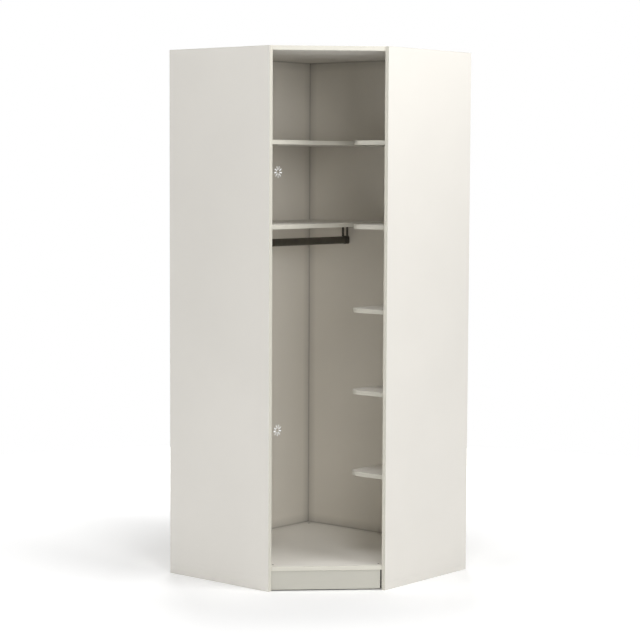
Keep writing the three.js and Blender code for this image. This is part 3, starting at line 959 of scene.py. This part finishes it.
def bracket_shape():
    """Moulded angle with a rounded bend, a web near each end and four countersunk holes."""
    half, leg, thick, root = BRACKET_LENGTH / 2, BRACKET_LEG, BRACKET_THICK, WEB_ROOT
    rim = softened([(0, 0), (leg, 0), (leg, -thick), (thick, -thick)], BRACKET_ROUND)[1:-1]
    bend = softened([(leg, -thick), (thick, -thick), (thick, -leg)], BRACKET_BEND)[1:-1]
    toe = softened([(thick, -thick), (thick, -leg), (0, -leg), (0, 0)], BRACKET_ROUND)[1:-1]
    profile = [Vector((-half, y, z)) * mm for y, z in [(0, 0)] + rim + bend + toe]
    piece = prism_piece("bracket", profile, TO_SIDE * BRACKET_LENGTH * mm, GREY_PLASTIC)
    short, deep = leg - WEB_INSET, thick + WEB_INSET
    corners = ((root, -root), (short, -root), (short, -deep), (deep, -short), (root, -short))
    for x in (WEB_INSET - half, half - WEB_INSET - WEB_THICK):
        outline = [Vector((x, y, z)) * mm for y, z in corners]
        web = prism_piece("bracket_web", outline, TO_SIDE * WEB_THICK * mm, GREY_PLASTIC)
        piece = cut(piece, web, "UNION")
    room = screw_room(SMALL_HEAD + HEAD_GAP, 0, SMALL_CONE, 2.0, 6)
    for place, out in bracket_holes():
        hole = turned_piece("bracket_hole", room, GREY_PLASTIC, place=place, axis=out, facets=32)
        piece = cut(piece, hole)
    return piece


def add_brackets():
    for end in BRACKET_ENDS:
        piece = bracket_shape()
        piece.data.transform(bracket_frame(end))
        piece.name = f"plinth_angle_{end}"
        dress(shaded(piece), "carcass", "grey_plastic", f"plinth_bracket_{end}")


# Connectors: the round housing's room, the disc that turns in it with a cross slot, and the barbed bolt
ROOM_RADIUS, ROOM_BED = 6.6, 11.0
DISC_RADIUS, DISC_FACE, DISC_BED = 6.2, 0.7, 10.5
SLOT_HALF_WIDTH, SLOT_HALF_LENGTH, SLOT_BED = 0.75, 4.3, 3.6
BOLT_START, BOLT_NECK, BOLT_TIP = 9.9, 2.4, 2.6
BARB_COUNT, BARB_STEP, BARB_DEPTH = 6, 1.4, 0.5


def cam_shape():
    """Round cam with a cross slot in its face."""
    outline = [(0, DISC_BED), (DISC_RADIUS, DISC_BED), (DISC_RADIUS, DISC_FACE), (0, DISC_FACE)]
    cam = turned_piece("connector_cam_shape", softened(outline, 0.5))
    for wide, long in ((SLOT_HALF_WIDTH, SLOT_HALF_LENGTH), (SLOT_HALF_LENGTH, SLOT_HALF_WIDTH)):
        cam = cut(cam, box_piece("cam_slot", (-wide, -long, 0), (wide, long, SLOT_BED)))
    return shaded(cam)


def bolt_shape():
    """Bolt with a narrow neck, and barbs from the edge of the board on."""
    profile = [(0, BOLT_START), (BOLT_NECK, BOLT_START), (BOLT_NECK, CAM_FROM_EDGE)]
    for i in range(BARB_COUNT):
        z = CAM_FROM_EDGE + BARB_STEP * i
        profile += [(BOLT_RADIUS, z), (BOLT_RADIUS, z + 0.9), (BOLT_RADIUS - BARB_DEPTH, z + 1.2)]
    end = CAM_FROM_EDGE + BOLT_REACH
    return shaded(turned_piece("connector_bolt_shape", profile + [(BOLT_TIP, end), (0, end)], facets=32))


def add_connectors():
    shell = [(0, CAM_DEPTH), (CAM_RADIUS, CAM_DEPTH), (CAM_RADIUS, 0.0), (ROOM_RADIUS, 0.0),
             (ROOM_RADIUS, ROOM_BED), (0, ROOM_BED)]
    housing = shaded(turned_piece("connector_housing_shape", softened(shell, 0.5), facets=64))
    faces, bolts = [], []
    for _, _, _, place, way, inward in CONNECTORS:
        faces.append((place, Euler((math.pi if inward.z < 0 else 0.0, 0.0, math.atan2(way.y, way.x)))))
        bolts.append((place + inward * BOLT_RISE * mm, facing(way)))
    nodes = [node for node, *_ in CONNECTORS]
    dress(repeated("connector_housings", housing, faces, GREY_PLASTIC), "carcass", "grey_plastic", *nodes)
    dress(repeated("connector_cams", cam_shape(), faces, ZINC), "carcass", "zinc_steel")
    dress(repeated("connector_bolts", bolt_shape(), bolts, ZINC), "carcass", "zinc_steel")


# Screws
THREAD_STEP = 1.4
CORE_SHARE = 0.8
RECESS_SHARE = 0.55


def screw_shape(name, head, cone, shank, length):
    """Countersunk screw with a cross recess, its head flush with its own z = 0 and its shank below."""
    core = shank * CORE_SHARE
    profile = [(0, 0), (head - 0.25, 0), (head, -0.3), (shank, -cone)]
    for i in range(max(1, int((length - cone - 3) / THREAD_STEP))):
        z = -cone - 0.6 - THREAD_STEP * i
        profile += [(core, z), (shank, z - 0.7)]
    made = turned_piece(name, profile + [(core, -length + 2.5), (0, -length)], facets=40)
    wide, thin, deep = head * RECESS_SHARE, head * 0.12, cone * 0.85
    corners = ((-wide, 0.2), (wide, 0.2), (wide * 0.4, -deep), (-wide * 0.4, -deep))
    for turn in (0.0, math.pi / 2):
        outline = [Vector((x, -thin, z)) * mm for x, z in corners]
        wing = prism_piece(name + "_recess", outline, TO_BACK * 2 * thin * mm)
        wing.data.transform(Matrix.Rotation(turn, 4, "Z"))
        made = cut(made, wing)
    return shaded(made)


def screw_turn(out, angle):
    """Euler turn of a screw that faces a direction, with its recess turned by an angle."""
    return (facing(out).to_matrix() @ Matrix.Rotation(angle, 3, "Z")).to_euler()


def add_screws():
    shape = screw_shape("board_screw_shape", SCREW_HEAD, SCREW_CONE, SCREW_SHANK, 30.0)
    places = []
    for i, (_, place, out) in enumerate(SCREWS):
        places.append((place - out * HEAD_SUNK * mm, screw_turn(out, 0.9 * i)))
    dress(repeated("board_screws", shape, places, ZINC), "carcass", "zinc_steel")

    shape = screw_shape("small_screw_shape", SMALL_HEAD, SMALL_CONE, SMALL_SHANK, 15.0)
    places = []
    for i, name in enumerate(SOCKET_SCREWS):
        head = middle(name)
        head.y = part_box(name)[1].y
        places.append((head, screw_turn(TO_BACK, 0.5 + 0.7 * i)))
    made = repeated("socket_screws", shape, places, ZINC, remove=False)
    dress(made, "carcass", "zinc_steel", *SOCKET_SCREWS)

    places = []
    holders = [(bracket_frame(end), bracket_holes()) for end in BRACKET_ENDS]
    holders += [(foot_frame(name)[0], foot_screw_heads(name)) for name in FEET]
    for place, heads in holders:
        for head, out in heads:
            places.append((place @ head, screw_turn(place.to_3x3() @ out, 1.1 * len(places))))
    dress(repeated("fitting_screws", shape, places, ZINC), "carcass", "zinc_steel")


# Rail
RAIL_WIDTH = 16.0
RAIL_HEIGHT = 35.0
RAIL_WALL = 1.5
SHOE_FLOOR = 3.6
SOCKET_FLANGE = 3.0
SOCKET_WALL = 2.0
SOCKET_GAP = 0.3
POSTS = ("rear", "front")
POST_HOLE_RADIUS, POST_HOLE_DEPTH = 2.8, 12.3
POST_FLANGE = 3.0
PIN_RADIUS, POST_RADIUS, COLLAR_RADIUS, FLANGE_RADIUS = 2.5, 5.2, 6.4, 10.0


def oval(width, height, steps=20):
    """Upright oval with round ends, as (across, up) places in millimetres."""
    r, straight = width / 2, (height - width) / 2
    made = []
    for i in range(2 * steps + 2):
        half, step = divmod(i, steps + 1)
        a = math.pi * (half + step / steps)
        made.append((r * math.cos(a), r * math.sin(a) + straight * (1 - 2 * half)))
    return made


def oval_piece(name, wide, tall, stations):
    """Cast piece about the rail's axis, skinned through ovals. Each station is its y in metres and what its
    width and height are less than the full ones; the first and the last are closed."""
    centre = middle("hanging_rail")
    bm = bmesh.new()
    rings = []
    for y, less in stations:
        rings.append([bm.verts.new((centre.x + a * mm, y, centre.z + b * mm))
                      for a, b in oval(wide - less, tall - less)])
    for one, two in zip(rings, rings[1:]):
        for i in range(len(one)):
            j = (i + 1) % len(one)
            bm.faces.new((one[i], one[j], two[j], two[i]))
    bm.faces.new(rings[0])
    bm.faces.new(rings[-1])
    return to_object(bm, name, CAST_BRONZE)


def add_rail():
    low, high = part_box("hanging_rail")
    tube = grown("rail_tube", TUBE, Width=RAIL_WIDTH * mm, Height=RAIL_HEIGHT * mm, Wall=RAIL_WALL * mm,
                 Length=high.y - low.y, Material=DRAWN_BRONZE)
    centre = middle("hanging_rail")
    tube.data.transform(Matrix.Translation((centre.x, high.y, centre.z)))
    dress(shaded(tube), "carcass", "bronze_metal", "hanging_rail")


def add_rail_shoe():
    """Shoe round the rail's end by the right back board, with a groove near its mouth."""
    low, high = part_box("rail_shoe")
    wide, tall = (high.x - low.x) / mm, (high.z - low.z) / mm
    stations = [(high.y - back * mm, less) for back, less in ((0, 1.6), (0.3, 0.6), (0.9, 0))]
    groove = ((7.8, 0), (7.2, 1.8), (3.4, 1.8), (2.8, 0))
    lip = ((0.7, 0), (0.2, 0.4), (0, 1.0), (0.1, 2.4))
    stations += [(low.y + out * mm, less) for out, less in groove + lip]
    stations.append((high.y - SHOE_FLOOR * mm, 3.0))
    shoe = oval_piece("rail_end_shoe", wide, tall, stations)
    dress(shaded(shoe), "carcass", "bronze_metal", "rail_shoe")


def add_rail_socket():
    """Socket on the left side panel: a flange with two screw holes, and a cup that holds the rail's end."""
    low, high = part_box("rail_socket")
    wide, tall = (high.x - low.x) / mm, (high.z - low.z) / mm
    face = low.y + SOCKET_FLANGE * mm
    edge = [(face - back * mm, less) for back, less in ((0.8, 0), (0.25, 0.5), (0, 1.4))]
    flange = oval_piece("socket_flange", wide, tall, [(low.y, 0)] + edge)
    for name in SOCKET_SCREWS:
        place = middle(name)
        place.y = face
        room = screw_room(4.0, 0, SMALL_CONE, 2.1, 4)
        hole = turned_piece(name + "_hole", room, CAST_BRONZE, place=place, axis=TO_BACK, facets=32)
        flange = cut(flange, hole)
    lip = [(high.y - back * mm, less) for back, less in ((0.7, 0), (0.2, 0.4), (0, 1.0), (0.1, 2.8))]
    stations = [(low.y + 0.4 * mm, 0)] + lip + [(face - 0.2 * mm, 3.4)]
    cup = oval_piece("socket_cup", wide - 0.2, RAIL_HEIGHT + 2 * (SOCKET_GAP + SOCKET_WALL), stations)
    socket = cut(flange, cup, "UNION")
    socket.name = "rail_wall_socket"
    dress(shaded(socket), "carcass", "bronze_metal", "rail_socket")


def add_rail_posts():
    """Turned posts between the rail and the hat shelf, each with a collar below and a flange above."""
    for end in POSTS:
        low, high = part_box(f"rail_post_{end}")
        z0, z1 = low.z / mm, high.z / mm
        shoulder = z0 + 5.5
        flange_top = z1 - POST_HOLE_DEPTH
        flange_low = flange_top - POST_FLANGE
        profile = [(0, z0), (PIN_RADIUS, z0), (PIN_RADIUS, shoulder), (COLLAR_RADIUS, shoulder),
                   (COLLAR_RADIUS, shoulder + 2.4), (POST_RADIUS, shoulder + 3.4),
                   (POST_RADIUS, flange_low - 2.0), (POST_RADIUS + 1.0, flange_low),
                   (FLANGE_RADIUS, flange_low + 0.8), (FLANGE_RADIUS, flange_top),
                   (PIN_RADIUS, flange_top), (PIN_RADIUS, z1), (0, z1)]
        axis = at_height(middle(f"rail_post_{end}"), 0)
        post = turned_piece(f"rail_hanger_{end}", softened(profile, 0.6), CAST_BRONZE, place=axis)
        dress(shaded(post), "carcass", "bronze_metal", f"rail_post_{end}")


# Levelling feet
ACCESS_RADIUS = 5.0
SLEEVE_BORE, SLEEVE_MOUTH, SLEEVE_GAP, SLEEVE_SHORT = 4.1, 4.5, 0.1, 0.5
BLOCK_LOW, BLOCK_HIGH = (-14.0, 6.0), (36.7, 52.0)
BLOCK_ROUND = 1.2
BOSS_RADIUS = 14.0
BORE_RADIUS = 5.3
POCKET_START, POCKET_STEP, POCKET_SIZE = (-11.6, 14.4), (16.0, 12.4), (14.0, 10.4)
POCKET_ROOF = 4.0
HOUSING_SCREW_X = 34.3
HOUSING_SCREW_SIDES = (19.6, 44.4)
SPINDLE_RADIUS, SPINDLE_PITCH = 4.45, 1.5
NECK_RADIUS, NECK_LENGTH = 4.0, 8.7
RIDGE_PLACE, RIDGE_RADIUS, RIDGE_INSET = 4.4, 0.58, 0.8
KEY_RADIUS, KEY_DEPTH = 2.9, 6.0


def foot_frame(name):
    """Matrix from a foot's own place, whose +X points to the panel that carries it, and its block's side."""
    centre = foot_centre(name)
    way = {"right": TO_SIDE, "left": -TO_BACK}.get(name.split("_")[-1], TO_BACK)
    across = UP.cross(way)
    hand = 1.0 if (middle(f"foot_{name}_housing") - centre).dot(across) > 0 else -1.0
    axes = Matrix((way, across, UP)).transposed().to_4x4()
    return Matrix.Translation(centre) @ axes, hand


def foot_screw_heads(name):
    """Heads and facings of the two screws that fix a housing to its panel, in the foot's own place."""
    hand = foot_frame(name)[1]
    height = middle(f"foot_{name}_housing").z / mm
    return [(Vector((HOUSING_SCREW_X, hand * y, height)) * mm, -TO_SIDE) for y in HOUSING_SCREW_SIDES]


def add_feet():
    spindle = spindle_shape()
    for name in FEET:
        place, hand = foot_frame(name)
        add_foot_housing(name, place, hand)
        mesh = spindle.data.copy()
        mesh.transform(place)
        piece = shaded(new_object(f"{name}_foot_spindle", mesh))
        dress(piece, f"{name}_spindle", "zinc_steel", f"foot_{name}_spindle")
        add_foot_pad(name, place)
    bpy.data.objects.remove(spindle)


def add_access_sleeves():
    """Thin black sleeves that line the holes of the bottom panel over the feet; a real lining whose black
    also stands in for the shade deep in the holes, as painted shade.
    """
    deep = SLEEVE_SHORT - BOARD
    rim = ACCESS_RADIUS - SLEEVE_GAP
    loop = [(SLEEVE_BORE, deep), (SLEEVE_BORE, -0.4), (SLEEVE_MOUTH, 0), (rim, 0), (rim, deep),
            (SLEEVE_BORE, deep)]
    sleeve = turned_piece("access_sleeve_shape", loop, facets=40)
    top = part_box("bottom_panel")[1].z
    places = [(at_height(foot_centre(name), top), Vector()) for name in FEET]
    dress(repeated("access_hole_sleeves", shaded(sleeve), places, BLACK_PLASTIC), "carcass", "black_plastic")


def add_foot_housing(name, place, hand):
    """Block with nine pockets from below and a round boss that is bored for the spindle."""
    low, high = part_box(f"foot_{name}_housing")
    z0, z1 = low.z / mm, high.z / mm
    block = box_piece("foot_block", (*BLOCK_LOW, z0), (*BLOCK_HIGH, z1 - 0.1), BLACK_PLASTIC)
    block = eased(block, BLOCK_ROUND, 3)
    for i in range(3):
        for j in range(3):
            start = [first + step * n for first, step, n in zip(POCKET_START, POCKET_STEP, (i, j))]
            end = [first + size for first, size in zip(start, POCKET_SIZE)]
            block = cut(block, box_piece("pocket", (*start, z0 - 1), (*end, z1 - POCKET_ROOF), BLACK_PLASTIC))
    boss = softened([(0, z0), (BOSS_RADIUS, z0), (BOSS_RADIUS, z1), (0, z1)], 0.8)
    block = cut(block, turned_piece("foot_boss", boss, BLACK_PLASTIC, facets=64), "UNION")
    bore = [(0, z0 - 1), (BORE_RADIUS, z0 - 1), (BORE_RADIUS, z1 + 1), (0, z1 + 1)]
    block = cut(block, turned_piece("bore", bore, BLACK_PLASTIC, facets=40))
    if hand < 0:
        block.data.transform(Matrix.Scale(-1, 4, TO_BACK))
    block.data.transform(place)
    block.name = f"{name}_foot_housing"
    dress(shaded(block), "carcass", "black_plastic", f"foot_{name}_housing")


def spindle_shape():
    """Threaded spindle about the Z axis, with a bare neck below and room for a hexagon key above."""
    low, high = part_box("foot_corner_spindle")
    z0, z1 = low.z / mm, high.z / mm
    neck = z0 + NECK_LENGTH
    profile = [(0, z0), (NECK_RADIUS, z0), (NECK_RADIUS, neck), (SPINDLE_RADIUS, neck),
               (SPINDLE_RADIUS, z1), (0, z1)]
    core = turned_piece("spindle_core", softened(profile, 0.5), ZINC, facets=40)
    room = [(0, z1 - KEY_DEPTH), (KEY_RADIUS, z1 - KEY_DEPTH), (KEY_RADIUS, z1 + 1), (0, z1 + 1)]
    core = cut(core, turned_piece("hex_key_room", room, ZINC, facets=6))
    turns = (z1 - neck - 2 * RIDGE_INSET) / SPINDLE_PITCH
    ridge = grown("thread", THREAD, Radius=RIDGE_PLACE * mm, Pitch=SPINDLE_PITCH * mm, Turns=turns,
                  Ridge=RIDGE_RADIUS * mm, Material=ZINC)
    ridge.data.transform(Matrix.Translation((0, 0, (neck + RIDGE_INSET) * mm)))
    return cut(core, ridge, "UNION")


def add_foot_pad(name, place):
    """Foot with a flat rim, a sloping top under twelve ribs, and a neck that holds the spindle's end."""
    z0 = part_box(f"foot_{name}_pad")[0].z / mm
    section = ((0, 0), (16.8, 0), (19.0, 2.0), (19.0, 3.4), (17.8, 3.6), (9.4, 6.4), (9.0, 9.0), (4.3, 9.0),
               (4.3, 3.0), (0, 3.0))
    profile = softened([(radius, z0 + rise) for radius, rise in section], 0.6)
    pad = turned_piece("pad_disc", profile, BLACK_PLASTIC, facets=72)
    ribs = grown("pad_ribs", RIBS, Rib_Count=12, Rib_Width=1.3 * mm, Inner_Radius=7.0 * mm,
                 Outer_Radius=18.2 * mm, Inner_Height=7.4 * mm, Outer_Height=2.3 * mm, Material=BLACK_PLASTIC)
    ribs.data.transform(Matrix.Translation((0, 0, (z0 + 2.0) * mm)))
    pad = cut(pad, ribs, "UNION")
    pad.data.transform(place)
    pad.name = f"{name}_foot_pad"
    dress(shaded(pad), f"{name}_pad", "black_plastic", f"foot_{name}_pad")


# Lights: name, place, the point that they face, size and power in watts
WORLD_LIGHT = 0.04
LIGHTS = (
    ("light_right_top", (2.6, 0.3, 4.2), (0.48, 0.15, 1.8), (1.5, 1.5), 80.0),
    ("light_right_front", (5.2, -3.0, 2.2), (-0.4, 0.3, 1.2), (2.0, 2.5), 90.0),
    ("light_left", (-1.5, -5.5, 2.6), (-0.2, -0.4, 1.2), (2.5, 3.0), 45.0),
    ("light_left_top", (-0.3, -2.6, 4.2), (-0.15, -0.48, 1.8), (1.5, 1.5), 25.0),
    ("light_front", (4.2, -4.2, 2.6), (0.0, 0.0, 1.2), (2.5, 2.5), 35.0),
    ("light_front_top", (1.9, -1.9, 6.0), (0.0, 0.0, 0.6), (1.5, 1.5), 60.0),
    ("light_behind", (-4.0, 4.0, 3.0), (0.0, 0.0, 1.2), (3.0, 3.0), 200.0),
)


# Studio
def add_light(name, place, target, size, power):
    light = bpy.data.lights.new(name, "AREA")
    light.shape = "RECTANGLE"
    light.size, light.size_y = size
    light.energy = power
    made = bpy.data.objects.new(name, light)
    scene.collection.objects.link(made)
    made.location = place
    made.rotation_euler = (Vector(place) - Vector(target)).to_track_quat("Z", "Y").to_euler()
    made.visible_camera = False


def add_studio():
    """Pale floor, white surroundings, and soft lights from all sides."""
    edge, under = FLOOR_RADIUS / mm, -FLOOR_THICK
    profile = ((0, under), (edge, under), (edge, 0), (0, 0))
    turned_piece("studio_floor", profile, pale_floor(), facets=96)
    world = bpy.data.worlds.new("studio")
    scene.world = world
    world.use_nodes = True
    nodes, links = world.node_tree.nodes, world.node_tree.links
    background = nodes["Background"]
    background.inputs["Color"].default_value = (1, 1, 1, 1)
    seen = nodes.new("ShaderNodeLightPath").outputs["Is Camera Ray"]
    strength = nodes.new("ShaderNodeMapRange")
    strength.inputs["To Min"].default_value = WORLD_LIGHT
    strength.inputs["To Max"].default_value = 1.0
    links.new(seen, strength.inputs["Value"])
    links.new(strength.outputs[0], background.inputs["Strength"])
    for light in LIGHTS:
        add_light(*light)


add_camera()
add_boards()
add_plinth()
add_brackets()
add_connectors()
add_screws()
add_rail()
add_rail_shoe()
add_rail_socket()
add_rail_posts()
add_feet()
add_access_sleeves()
add_studio()
